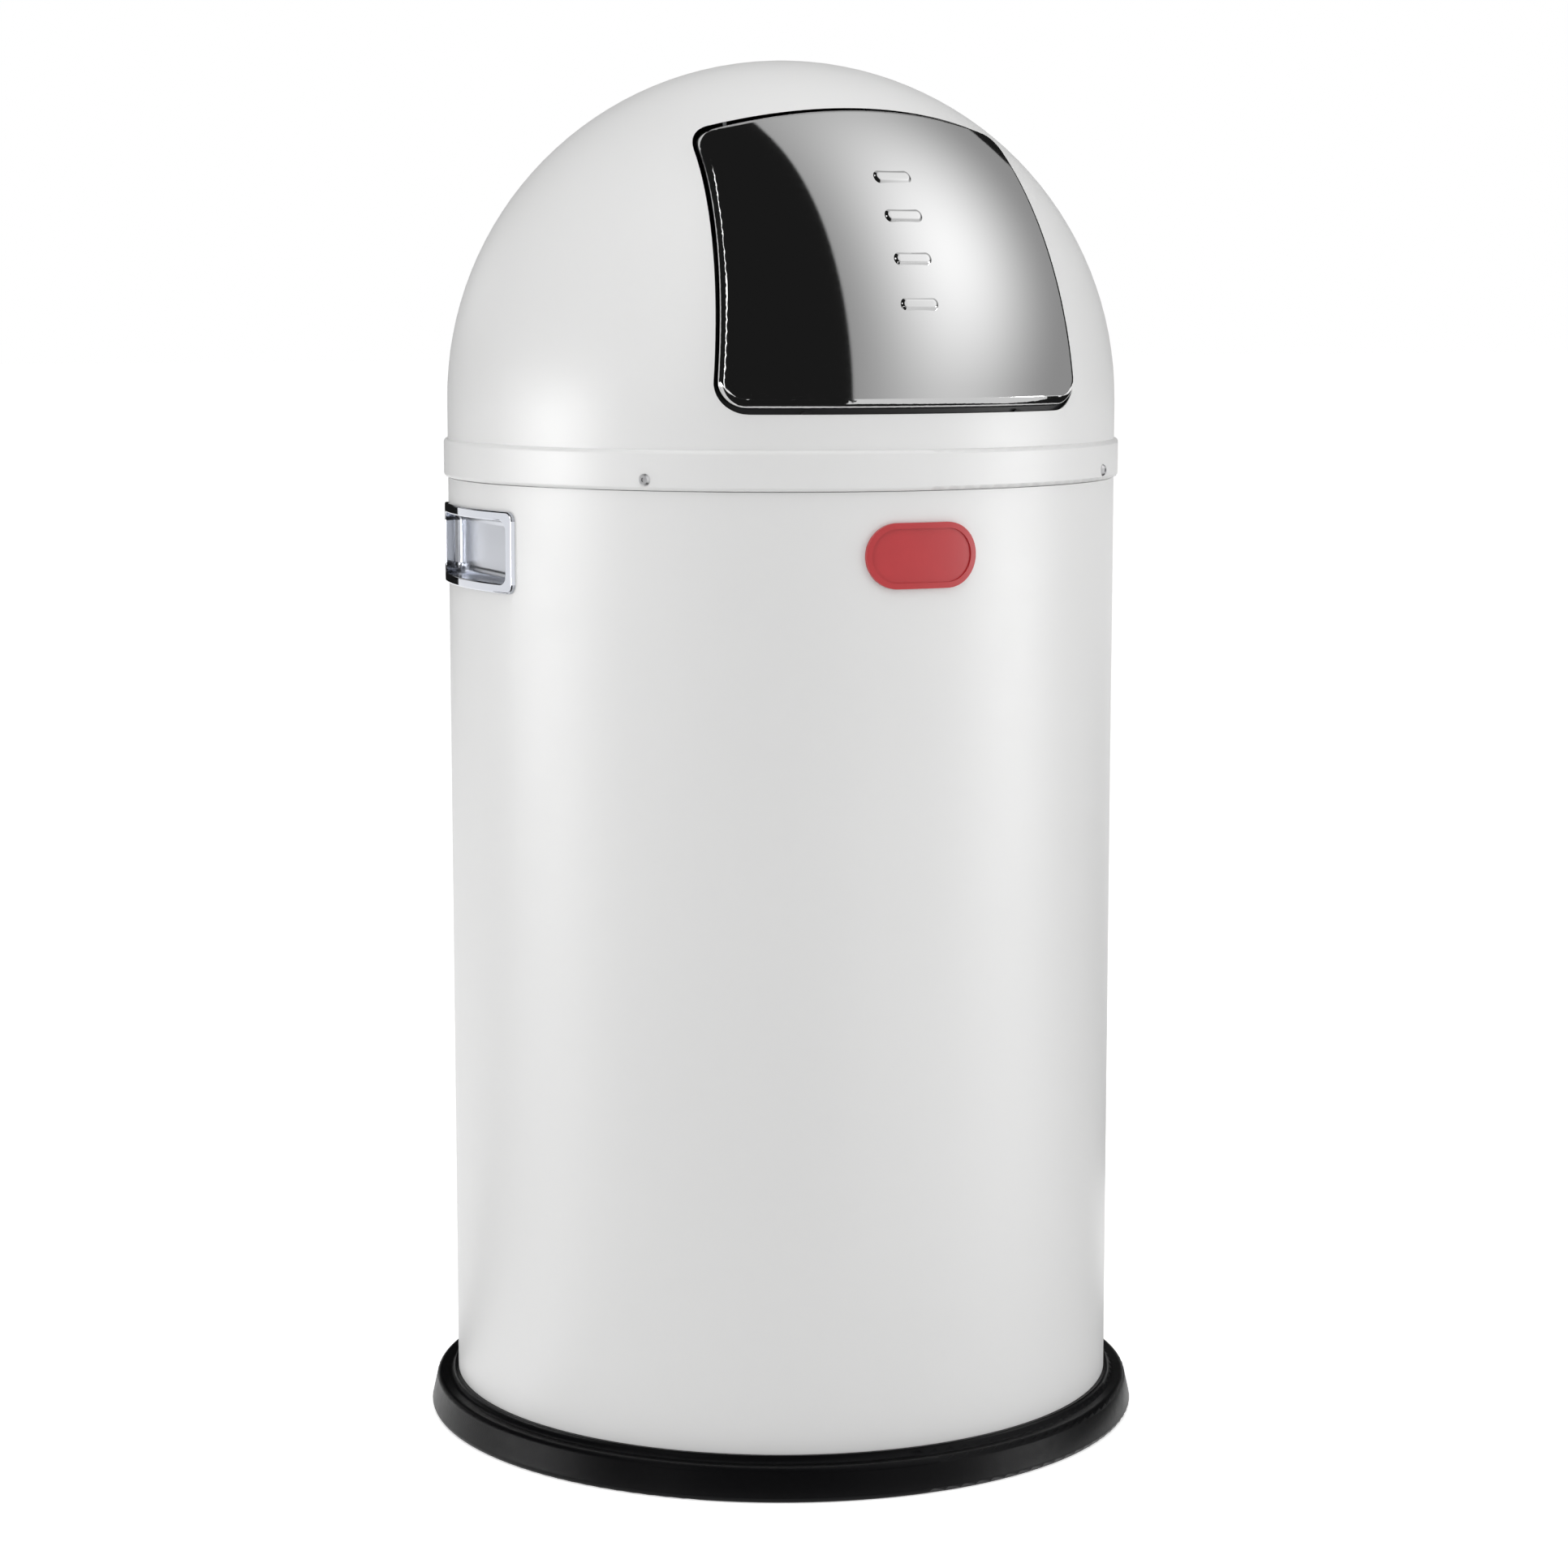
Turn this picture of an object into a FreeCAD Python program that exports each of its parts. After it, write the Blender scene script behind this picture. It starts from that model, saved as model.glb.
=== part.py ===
"""Free-standing waste bin: round steel body, domed hood with a sprung push flap, lift-out liner.

Millimetres, +Z up. The origin is on the floor, on the axis of the round body.
The flap faces -Y, and the recessed grips face +X and -X.
"""
import FreeCAD
import Part
import Sketcher
import math
import os

Vector = FreeCAD.Vector
AXIS_X = Vector(1, 0, 0)
AXIS_Y = Vector(0, 1, 0)
AXIS_Z = Vector(0, 0, 1)
SIDES = (("left", -1), ("right", 1))
FULL_TURN = 360.0
QUARTER_TURN = 90.0

# Driving dimensions in millimetres, with angles in degrees and counts as plain numbers
SIZES = (
    # Overall
    ("body_radius", 185.0),
    ("overall_height", 755.0),
    ("neck_height", 42.0),
    ("painted_sheet", 0.8),
    ("seat_gap", 0.3),
    ("fit_gap", 0.1),
    ("overrun", 20.0),
    # Body shell and bottom plate
    ("hem_depth", 9.0),
    ("plate_height", 11.0),
    ("plate_flange", 14.0),
    # Floor ring
    ("ring_overhang", 15.0),
    ("ring_draft", 2.8),
    ("ring_lip_height", 22.0),
    ("ring_lip_width", 1.8),
    ("ring_cove", 3.6),
    ("ring_shoulder_round", 3.0),
    ("ring_foot_round", 3.0),
    ("ring_wall", 3.5),
    ("ring_roof", 4.4),
    ("ledge_height", 7.0),
    ("ledge_width", 8.0),
    # Recessed grips
    ("grip_height", 43.5),
    ("grip_width", 112.5),
    ("grip_top_gap", 13.75),
    ("grip_corner", 5.0),
    ("grip_proud", 2.0),
    ("grip_bar", 5.2),
    ("grip_side_bar", 6.0),
    ("grip_depth", 14.0),
    ("grip_cutout_gap", 2.0),
    ("grip_wall", 1.2),
    ("grip_dish_round", 6.0),
    ("grip_edge_round", 0.8),
    ("retainer_width", 5.0),
    ("retainer_sheet", 1.0),
    # Badge plate
    ("badge_width", 62.0),
    ("badge_height", 34.0),
    ("badge_top_gap", 16.0),
    ("badge_thickness", 2.0),
    ("badge_rim", 3.0),
    ("badge_recess", 0.8),
    # Hood
    ("collar_proud", 2.2),
    ("collar_height", 21.0),
    ("plug_depth", 13.0),
    ("plug_gap", 0.5),
    ("plug_sheet", 1.2),
    ("plug_leg_height", 14.0),
    ("rivet_height", 5.6),
    ("rivet_shank_radius", 1.6),
    ("rivet_head_radius", 3.2),
    ("rivet_head_height", 1.3),
    ("rivet_mandrel_radius", 1.1),
    ("rivet_tail_radius", 1.95),
    ("rivet_tail_length", 3.0),
    ("rivet_first_angle", 45.0),
    ("rivet_count", 4),
    # Push flap
    ("flap_rise_share", 0.82973),
    ("flap_bottom_share", 0.55297),
    ("flap_middle_share", 0.51568),
    ("flap_top_share", 0.46486),
    ("flap_crown_share", 0.06757),
    ("flap_corner", 14.0),
    ("flap_proud", 3.5),
    ("flap_depth", 6.5),
    ("flap_roll", 5.2),
    ("flap_sheet", 0.8),
    ("mouth_side_gap", 1.6),
    ("mouth_bottom_gap", 2.6),
    ("mouth_top_gap", 1.6),
    ("backplate_thickness", 2.5),
    ("backplate_lap", 7.0),
    ("backplate_lap_share", 0.45946),
    ("buffer_radius", 3.0),
    ("buffer_offset_share", 0.32432),
    ("buffer_rise_share", 0.37838),
    # Flap hinge
    ("hinge_setback_share", 0.410811),
    ("hinge_rise_share", 0.713514),
    ("axle_radius", 2.5),
    ("axle_running_gap", 0.05),
    ("flap_open_angle", 58.0),
    ("bracket_gap", 1.0),
    ("bracket_sheet", 2.0),
    ("bracket_foot_width", 14.0),
    ("bracket_foot_length", 38.0),
    ("bracket_boss", 7.0),
    ("axle_end_reach", 5.0),
    ("clip_radius", 5.0),
    ("clip_thickness", 1.0),
    ("clip_slot", 3.0),
    ("ear_offset_share", 0.28108),
    ("ear_thickness", 4.0),
    ("ear_boss", 7.5),
    ("ear_upper_share", 0.74595),
    ("ear_lower_share", 0.45946),
    ("heel_radius", 4.0),
    ("heel_rest_angle", 20.0),
    ("bush_radius", 4.2),
    ("bush_flange_radius", 6.2),
    ("bush_flange", 1.0),
    ("stop_width", 12.0),
    ("stop_thickness", 3.3),
    # Return springs
    ("spring_offset", 24.0),
    ("spring_wire_radius", 0.7),
    ("spring_coil_radius", 3.6),
    ("spring_pitch", 2.0),
    ("spring_turns", 5),
    ("spring_hood_leg_angle", 60.0),
    ("spring_flap_leg_angle", 190.0),
    # Liner bucket
    ("liner_drop", 23.0),
    ("liner_sheet", 0.7),
    ("liner_bead_radius", 2.5),
    ("liner_floor_height", 6.0),
    ("swage_height", 2.2),
    ("swage_width", 14.0),
    ("swage_lower_share", 0.33663),
    ("swage_upper_share", 0.68317),
    # Bail and its ears
    ("bail_clearance", 1.3),
    ("bail_standoff", 10.0),
    ("bail_straight", 8.0),
    ("bail_wire_radius", 2.5),
    ("bail_bend", 5.0),
    ("bail_head_radius", 3.6),
    ("bail_head_length", 1.4),
    ("bail_sleeve_radius", 6.0),
    ("bail_sleeve_angle", 36.0),
    ("lug_sheet", 1.5),
    ("lug_height", 26.0),
    ("lug_rim_gap", 3.0),
    ("lug_crown", 22.0),
    ("lug_foot", 13.0),
    ("lug_standoff", 4.5),
    ("lug_rivet_radius", 2.0),
    ("lug_rivet_head_radius", 3.6),
    ("lug_rivet_head", 1.4),
)

# Sizes that follow from the driving ones, so that pieces that belong together stay together
FOLLOWING_SIZES = (
    ("dome_height", "=overall_height - body_radius"),
    ("body_top", "=dome_height - neck_height"),
    ("ring_radius", "=body_radius + ring_overhang"),
    ("ring_shoulder_radius", "=ring_radius - ring_draft"),
    ("ring_shoulder_height", "=ring_lip_height - ring_cove"),
    ("ring_channel_depth", "=ring_shoulder_height - ring_roof"),
    ("grip_middle_height", "=body_top - grip_top_gap - grip_height / 2"),
    ("badge_middle_height", "=body_top - badge_top_gap - badge_height / 2"),
    ("flap_bottom", "=dome_height"),
    ("flap_top", "=dome_height + body_radius * flap_rise_share"),
    ("flap_half_bottom", "=body_radius * flap_bottom_share"),
    ("flap_half_middle", "=body_radius * flap_middle_share"),
    ("flap_half_top", "=body_radius * flap_top_share"),
    ("flap_top_drop", "=body_radius * flap_crown_share"),
    ("backplate_lap_top", "=dome_height + body_radius * backplate_lap_share"),
    ("buffer_offset", "=body_radius * buffer_offset_share"),
    ("buffer_side_height", "=dome_height + body_radius * buffer_rise_share"),
    ("hinge_setback", "=body_radius * hinge_setback_share"),
    ("hinge_height", "=dome_height + body_radius * hinge_rise_share"),
    ("ear_offset", "=body_radius * ear_offset_share"),
    ("ear_upper_reach", "=dome_height + body_radius * ear_upper_share"),
    ("ear_lower_reach", "=dome_height + body_radius * ear_lower_share"),
    ("bracket_offset", "=ear_offset + stop_width / 2 + bracket_gap + bracket_foot_width / 2"),
    ("grip_pocket_back", "=body_radius - grip_depth - grip_wall"),
    ("bail_half_span", "=grip_pocket_back - bail_clearance - bail_wire_radius"),
    ("liner_radius", "=bail_half_span - bail_standoff"),
    ("liner_top", "=body_top - liner_drop"),
    ("swage_lower_height", "=liner_top * swage_lower_share"),
    ("swage_upper_height", "=liner_top * swage_upper_share"),
    ("lug_top", "=liner_top - liner_bead_radius * 2 - lug_rim_gap"),
    ("bail_height", "=lug_top - lug_height / 2"),
)

document = FreeCAD.newDocument("PushFlapBin")
sheet = document.addObject("Spreadsheet::Sheet", "Sizes")
for row, (alias, value) in enumerate(SIZES + FOLLOWING_SIZES, start=1):
    sheet.set("A%d" % row, alias)
    sheet.set("B%d" % row, str(value))
    sheet.setAlias("B%d" % row, alias)
document.recompute()


class Size:
    """A number together with the sheet expression that gives it."""

    def __init__(self, value, text):
        self.value = float(value)
        self.text = text

    def combine(self, other, sign, value):
        text = other.text if isinstance(other, Size) else repr(other)
        return Size(value, "(%s %s %s)" % (self.text, sign, text))

    def __add__(self, other):
        return self.combine(other, "+", self.value + number(other))

    def __sub__(self, other):
        return self.combine(other, "-", self.value - number(other))

    def __mul__(self, other):
        return self.combine(other, "*", self.value * number(other))

    def __truediv__(self, other):
        return self.combine(other, "/", self.value / number(other))


class SizeSheet:
    """The sheet's cells as Size objects, by alias."""

    def __getattr__(self, alias):
        return Size(sheet.get(alias), "%s.%s" % (sheet.Name, alias))


class NumberSheet:
    """The sheet's cells as plain numbers, by alias."""

    def __getattr__(self, alias):
        return float(sheet.get(alias))


def number(value):
    return value.value if isinstance(value, Size) else float(value)


S = SizeSheet()
N = NumberSheet()
AXIS = Size(0, "0")
FLOOR = Size(0, "0")
parts = []


def bind(item, prop, size):
    item.setExpression(prop, size.text)


def keep(item, label):
    """Name an object as one sub-part of the bin."""
    item.Label = label
    parts.append(item)
    return item


def solid_part(label, shape):
    """Keep a shape as a sub-part of its own."""
    item = document.addObject("Part::Feature", label)
    item.Shape = shape
    return keep(item, label)


def helper_shape(name, shape):
    item = document.addObject("Part::Feature", name)
    item.Shape = shape
    return item


def arc_geometry(start, end, radius):
    """The short arc between two sketch points, and which of its ends is the start.

    A positive radius turns left on the way from start to end, a negative one turns right.
    """
    first, last = (start, end) if radius > 0 else (end, start)
    size = abs(radius)
    chord = last - first
    middle = (first + last) * 0.5
    rise = math.sqrt(max(size * size - chord.Length * chord.Length / 4, 0))
    left = Vector(-chord.y, chord.x, 0).normalize()
    centre = middle + left * rise
    from_angle = math.atan2(first.y - centre.y, first.x - centre.x)
    to_angle = math.atan2(last.y - centre.y, last.x - centre.x)
    circle = Part.Circle(centre, AXIS_Z, size)
    arc = Part.ArcOfCircle(circle, from_angle, to_angle)
    return arc, (1, 2) if radius > 0 else (2, 1)


def turned_body(name, profile):
    """A body turned about the Z axis from a closed profile.

    Each profile entry is (radius, height) or (radius, height, turn), where turn is the radius of
    the arc that leads to the next entry, as (size, direction).
    """
    body = document.addObject("PartDesign::Body", name)
    sketch = body.newObject("Sketcher::SketchObject", name + "_profile")
    plane = [item for item in body.Origin.OriginFeatures if item.Role == "XZ_Plane"][0]
    sketch.AttachmentSupport = [(plane, "")]
    sketch.MapMode = "FlatFace"
    points = [Vector(number(entry[0]), number(entry[1]), 0) for entry in profile]
    ends = []
    for index, entry in enumerate(profile):
        start = points[index]
        end = points[(index + 1) % len(points)]
        if len(entry) > 2:
            size, direction = entry[2]
            arc, order = arc_geometry(start, end, number(size) * direction)
            geometry = sketch.addGeometry(arc, False)
            held = sketch.addConstraint(Sketcher.Constraint("Radius", geometry, number(size)))
            sketch.setExpression("Constraints[%d]" % held, size.text)
        else:
            geometry = sketch.addGeometry(Part.LineSegment(start, end), False)
            order = (1, 2)
        ends.append((geometry, order[0], order[1]))
    for index, (geometry, first, last) in enumerate(ends):
        following, next_first, unused_last = ends[(index + 1) % len(ends)]
        sketch.addConstraint(Sketcher.Constraint("Coincident", geometry, last, following, next_first))
    for (geometry, first, last), entry in zip(ends, profile):
        for kind, size, line in (("DistanceX", entry[0], -2), ("DistanceY", entry[1], -1)):
            if number(size) == 0:
                sketch.addConstraint(Sketcher.Constraint("PointOnObject", geometry, first, line))
                continue
            held = sketch.addConstraint(
                Sketcher.Constraint(kind, -1, 1, geometry, first, number(size)))
            sketch.setExpression("Constraints[%d]" % held, size.text)
    revolution = body.newObject("PartDesign::Revolution", name + "_turn")
    revolution.Profile = sketch
    revolution.ReferenceAxis = (sketch, ["V_Axis"])
    revolution.Angle = FULL_TURN
    sketch.Visibility = False
    return body


def cut(name, base, tool):
    item = document.addObject("Part::Cut", name)
    item.Base = base
    item.Tool = tool
    return item


def ball(radius):
    """A ball round the centre of the dome."""
    return Part.makeSphere(radius, Vector(0, 0, DOME_CENTRE))


def dome_layer(inner, outer):
    """The layer between two balls round the centre of the dome."""
    return ball(outer).cut(ball(inner))


def wall_layer(inner, outer, bottom, top):
    """The layer between two upright cylinders round the axis."""
    base = Vector(0, 0, bottom)
    return Part.makeCylinder(outer, top - bottom, base).cut(
        Part.makeCylinder(inner, top - bottom, base))


def block(low, high):
    """A box between two corners."""
    size = high - low
    return Part.makeBox(size.x, size.y, size.z, low)


def edges_along(shape, direction):
    """The straight edges of a shape that run along a direction."""
    found = []
    for edge in shape.Edges:
        if isinstance(edge.Curve, Part.Line) and abs(edge.Curve.Direction.dot(direction)) > 0.999:
            found.append(edge)
    return found


def mirror_x(shape):
    return shape.mirror(Vector(0, 0, 0), AXIS_X)


def one_side(shape, side):
    """The shape made for +X, on the named side."""
    return shape if side > 0 else mirror_x(shape)


DOME_CENTRE = N.dome_height
DOME_INNER = N.body_radius - N.painted_sheet
BODY_INNER = S.body_radius - S.painted_sheet
HINGE = Vector(0, -N.hinge_setback, N.hinge_height)
STOP_FACE = DOME_INNER - N.fit_gap - N.stop_thickness
PLATE_TOP = S.plate_height + S.painted_sheet
LINER_FOOT = PLATE_TOP + S.seat_gap
HOOD_FOOT = S.body_top + S.seat_gap


# Body shell: rolled sheet with a folded hem at the mouth and a cut-out for each grip
def make_body_shell():
    hem_inner = S.body_radius - S.painted_sheet * 2
    hem_bottom = S.body_top - S.hem_depth
    tube = turned_body("BodyTube", [
        (S.body_radius, S.ledge_height),
        (S.body_radius, S.body_top),
        (hem_inner, S.body_top),
        (hem_inner, hem_bottom),
        (BODY_INNER, hem_bottom),
        (BODY_INNER, S.ledge_height),
    ])
    cutter = grip_prism(N.grip_wall + N.grip_cutout_gap - N.grip_bar,
                        N.grip_wall + N.grip_cutout_gap - N.grip_side_bar,
                        -N.body_radius - N.overrun, N.body_radius + N.overrun)
    keep(cut("BodyShell", tube, helper_shape("GripCutOuts", cutter)), "body_shell")


# Bottom plate: a shallow pan inside the foot of the shell
def make_bottom_plate():
    rim = BODY_INNER - S.fit_gap
    keep(turned_body("BottomPlate", [
        (AXIS, S.plate_height),
        (rim, S.plate_height),
        (rim, S.plate_height + S.plate_flange),
        (rim - S.painted_sheet, S.plate_height + S.plate_flange),
        (rim - S.painted_sheet, PLATE_TOP),
        (AXIS, PLATE_TOP),
    ]), "bottom_plate")


# Floor ring: moulded ring with a cove, a rounded shoulder, a drafted wall and a channel below
def make_floor_ring():
    seat = S.body_radius + S.fit_gap
    cove = S.ring_cove
    lip = seat + S.ring_lip_width
    channel_outer = S.ring_shoulder_radius - S.ring_wall
    channel_inner = seat + S.ring_wall
    ledge_inner = S.body_radius - S.ledge_width
    keep(turned_body("FloorRing", [
        (seat, S.ring_lip_height),
        (lip, S.ring_lip_height, (cove, 1)),
        (lip + cove, S.ring_shoulder_height),
        (S.ring_shoulder_radius - S.ring_shoulder_round, S.ring_shoulder_height,
         (S.ring_shoulder_round, -1)),
        (S.ring_shoulder_radius, S.ring_shoulder_height - S.ring_shoulder_round),
        (S.ring_radius, S.ring_foot_round, (S.ring_foot_round, -1)),
        (S.ring_radius - S.ring_foot_round, FLOOR),
        (channel_outer, FLOOR),
        (channel_outer, S.ring_channel_depth),
        (channel_inner, S.ring_channel_depth),
        (channel_inner, FLOOR),
        (ledge_inner, FLOOR),
        (ledge_inner, S.ledge_height),
        (seat, S.ledge_height),
    ]), "floor_ring")


# Recessed grips: a curved bezel with a dished pocket, and a spring frame that holds it from inside
def grip_prism(grow_height, grow_width, low_x, high_x):
    """A rounded bar along X, over the grip's outline grown on each side."""
    half_height = N.grip_height / 2 + grow_height
    half_width = N.grip_width / 2 + grow_width
    bar = block(Vector(low_x, -half_width, N.grip_middle_height - half_height),
                Vector(high_x, half_width, N.grip_middle_height + half_height))
    return bar.makeFillet(N.grip_corner, edges_along(bar, AXIS_X))


def grip_shape():
    outside = N.body_radius + N.fit_gap
    face = outside + N.grip_proud
    low = N.grip_middle_height - N.grip_height
    high = N.grip_middle_height + N.grip_height
    reach = face + N.overrun
    pocket_back = N.body_radius - N.grip_depth
    bezel = wall_layer(outside, face, low, high).common(grip_prism(0, 0, 0, reach))
    cup = grip_prism(N.grip_wall - N.grip_bar, N.grip_wall - N.grip_side_bar,
                     pocket_back - N.grip_wall, reach)
    cup = cup.common(Part.makeCylinder(face, high - low, Vector(0, 0, low)))
    hollow = grip_prism(-N.grip_bar, -N.grip_side_bar, pocket_back, reach)
    floor_edges = [edge for edge in hollow.Edges
                   if abs(edge.BoundBox.XMax - pocket_back) < N.fit_gap]
    hollow = hollow.makeFillet(min(N.grip_dish_round, N.grip_corner * 0.9), floor_edges)
    grip = bezel.fuse(cup).cut(hollow).removeSplitter()
    rim_edges = [edge for edge in grip.Edges if on_cylinder(edge, face)]
    return grip.makeFillet(N.grip_edge_round, rim_edges)


def on_cylinder(edge, radius):
    """Whether an edge lies on an upright cylinder round the axis."""
    first, last = edge.ParameterRange
    for share in (0, 0.5, 1):
        point = edge.valueAt(first + (last - first) * share)
        if abs(math.hypot(point.x, point.y) - radius) > N.fit_gap / 2:
            return False
    return True


def retainer_shape():
    outside = DOME_INNER - N.fit_gap
    lap = N.retainer_width
    low = N.grip_middle_height - N.grip_height
    high = N.grip_middle_height + N.grip_height
    frame = wall_layer(outside - N.retainer_sheet, outside, low, high)
    frame = frame.common(grip_prism(lap - N.grip_bar, lap - N.grip_side_bar, 0, N.body_radius))
    through = grip_prism(N.grip_wall + N.fit_gap - N.grip_bar,
                         N.grip_wall + N.fit_gap - N.grip_side_bar, 0, N.body_radius)
    return frame.cut(through)


def make_grips():
    grip = grip_shape()
    retainer = retainer_shape()
    for name, side in SIDES:
        solid_part("grip_" + name, one_side(grip, side))
        solid_part("grip_retainer_" + name, one_side(retainer, side))


# Badge: a plain plate with round ends and a raised rim, curved to the body
def stadium_prism(width, height):
    half = width / 2
    low = Vector(-half, -N.body_radius - N.overrun, N.badge_middle_height - height / 2)
    high = Vector(half, 0, N.badge_middle_height + height / 2)
    bar = block(low, high)
    return bar.makeFillet(height / 2 - N.fit_gap, edges_along(bar, AXIS_Y))


def make_badge():
    inside = N.body_radius + N.fit_gap
    face = inside + N.badge_thickness
    low = N.badge_middle_height - N.badge_height
    high = N.badge_middle_height + N.badge_height
    plate = wall_layer(inside, face, low, high)
    plate = plate.common(stadium_prism(N.badge_width, N.badge_height))
    recess = wall_layer(face - N.badge_recess, face + N.overrun, low, high)
    recess = recess.common(stadium_prism(N.badge_width - N.badge_rim * 2,
                                         N.badge_height - N.badge_rim * 2))
    solid_part("badge_plate", plate.cut(recess))


# Hood shell: a spun dome with a straight neck and a proud collar, and the mouth cut in its front
def make_hood_shell():
    radius = S.body_radius
    inner = radius - S.painted_sheet
    proud = S.collar_proud
    collar_inner = proud - S.painted_sheet
    collar_top = HOOD_FOOT + S.collar_height
    centre_height = S.dome_height
    blank = turned_body("HoodBlank", [
        (radius, HOOD_FOOT, (proud, 1)),
        (radius + proud, HOOD_FOOT + proud),
        (radius + proud, collar_top - proud, (proud, 1)),
        (radius, collar_top),
        (radius, centre_height, (radius, 1)),
        (AXIS, S.overall_height),
        (AXIS, S.overall_height - S.painted_sheet, (inner, -1)),
        (inner, centre_height),
        (inner, collar_top - S.painted_sheet),
        (radius, collar_top - S.painted_sheet, (collar_inner, -1)),
        (radius + collar_inner, collar_top - proud),
        (radius + collar_inner, HOOD_FOOT + proud, (collar_inner, -1)),
        (radius, HOOD_FOOT + S.painted_sheet),
        (inner, HOOD_FOOT + S.painted_sheet),
        (inner, HOOD_FOOT),
    ])
    mouth = flap_prism(N.mouth_side_gap, N.mouth_bottom_gap, N.mouth_top_gap)
    holes = rivet_group(rivet_hole())
    keep(cut("HoodShell", blank, helper_shape("HoodOpenings", mouth.fuse(holes))), "hood_shell")


# Plug ring: a joggled ring riveted inside the collar, which drops into the mouth of the body
def make_plug_ring():
    plug = S.body_radius - S.painted_sheet * 2 - S.plug_gap
    collar = S.body_radius + S.collar_proud - S.painted_sheet - S.fit_gap
    web = HOOD_FOOT + S.collar_proud + S.fit_gap
    leg_top = web + S.plug_leg_height
    foot = S.body_top - S.plug_depth
    blank = turned_body("PlugRingBlank", [
        (plug, foot),
        (plug, web),
        (collar, web),
        (collar, leg_top),
        (collar - S.plug_sheet, leg_top),
        (collar - S.plug_sheet, web + S.plug_sheet),
        (plug - S.plug_sheet, web + S.plug_sheet),
        (plug - S.plug_sheet, foot),
    ])
    holes = rivet_group(rivet_hole())
    keep(cut("PlugRing", blank, helper_shape("PlugRingHoles", holes)), "plug_ring")


# Collar rivets: blind rivets with a dished head and a tail inside the plug ring
def rivet_group(shape):
    """Copies of a shape made for +X, spaced round the collar."""
    step = FULL_TURN / N.rivet_count
    copies = []
    for index in range(int(N.rivet_count)):
        copy = shape.copy()
        copy.rotate(Vector(0, 0, 0), AXIS_Z, N.rivet_first_angle + step * index)
        copies.append(copy)
    return Part.makeCompound(copies)


def rivet_middle():
    return Vector(0, 0, N.body_top + N.seat_gap + N.rivet_height)


def rivet_hole():
    radius = N.rivet_shank_radius + N.fit_gap
    return Part.makeCylinder(radius, N.body_radius + N.overrun, rivet_middle(), AXIS_X)


def make_collar_rivets():
    face = N.body_radius + N.collar_proud
    ring_inner = face - N.painted_sheet - N.fit_gap - N.plug_sheet
    tail_start = ring_inner - N.fit_gap - N.rivet_tail_length
    head_base = face + N.fit_gap
    head_top = head_base + N.rivet_head_height
    dish = head_top - N.rivet_head_height * 0.6
    middle = rivet_middle()

    def point(distance, radius):
        return middle + AXIS_X * distance + AXIS_Z * radius

    outline = Part.makePolygon([
        point(tail_start, 0),
        point(tail_start, N.rivet_tail_radius),
        point(ring_inner - N.fit_gap, N.rivet_tail_radius),
        point(ring_inner - N.fit_gap, N.rivet_shank_radius),
        point(head_base, N.rivet_shank_radius),
        point(head_base, N.rivet_head_radius),
        point(head_top, (N.rivet_head_radius + N.rivet_mandrel_radius) / 2),
        point(head_top, N.rivet_mandrel_radius),
        point(dish, N.rivet_mandrel_radius),
        point(dish, 0),
        point(tail_start, 0),
    ])
    rivet = Part.Face(outline).revolve(middle, AXIS_X, FULL_TURN)
    solid_part("collar_rivets", rivet_group(rivet))


# Push flap: the pressed panel, its moulded back plate with hinge ears, buffers, bushes
def flap_prism(grow_side, grow_bottom, grow_top):
    """A bar along -Y over the flap's front outline, grown by the given amounts."""
    bottom = N.flap_bottom - grow_bottom
    top = N.flap_top + grow_top
    shoulder = top - N.flap_top_drop
    half_bottom = N.flap_half_bottom + grow_side
    half_middle = N.flap_half_middle + grow_side
    half_top = N.flap_half_top + grow_side
    middle = (bottom + shoulder) / 2

    def point(x, z):
        return Vector(x, 0, z)

    sides = [
        Part.LineSegment(point(-half_bottom, bottom), point(half_bottom, bottom)),
        Part.Arc(point(half_bottom, bottom), point(half_middle, middle), point(half_top, shoulder)),
        Part.Arc(point(half_top, shoulder), point(0, top), point(-half_top, shoulder)),
        Part.Arc(point(-half_top, shoulder), point(-half_middle, middle),
                 point(-half_bottom, bottom)),
    ]
    face = Part.Face(Part.Wire([side.toShape() for side in sides]))
    bar = face.extrude(AXIS_Y * -(N.body_radius + N.overrun))
    return bar.makeFillet(N.flap_corner + grow_side, edges_along(bar, AXIS_Y))


def rolled_patch(shrink):
    """The flap's outer form with its rolled edge, shrunk evenly by a wall."""
    face = N.body_radius + N.flap_proud - shrink
    back = N.body_radius + N.flap_proud - N.flap_depth - (N.overrun if shrink else 0)
    patch = dome_layer(back, face).common(flap_prism(-shrink, -shrink, -shrink))
    rim = [edge for edge in patch.Edges if on_ball(edge, face)]
    return patch.makeFillet(N.flap_roll - shrink, rim)


def on_ball(edge, radius):
    """Whether an edge lies on a ball round the centre of the dome."""
    first, last = edge.ParameterRange
    for share in (0, 0.5, 1):
        offset = edge.valueAt(first + (last - first) * share) - Vector(0, 0, DOME_CENTRE)
        if abs(offset.Length - radius) > N.fit_gap / 2:
            return False
    return True


def make_flap_panel():
    panel = rolled_patch(0).cut(rolled_patch(N.flap_sheet))
    solid_part("flap_panel", panel)


BACKPLATE_FACE = N.body_radius + N.flap_proud - N.flap_depth - N.fit_gap
BACKPLATE_INNER = BACKPLATE_FACE - N.backplate_thickness


def backplate_point(x, z):
    """A point in the middle of the back plate's thickness."""
    radius = (BACKPLATE_FACE + BACKPLATE_INNER) / 2
    return -math.sqrt(radius ** 2 - x ** 2 - (z - DOME_CENTRE) ** 2)


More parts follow.
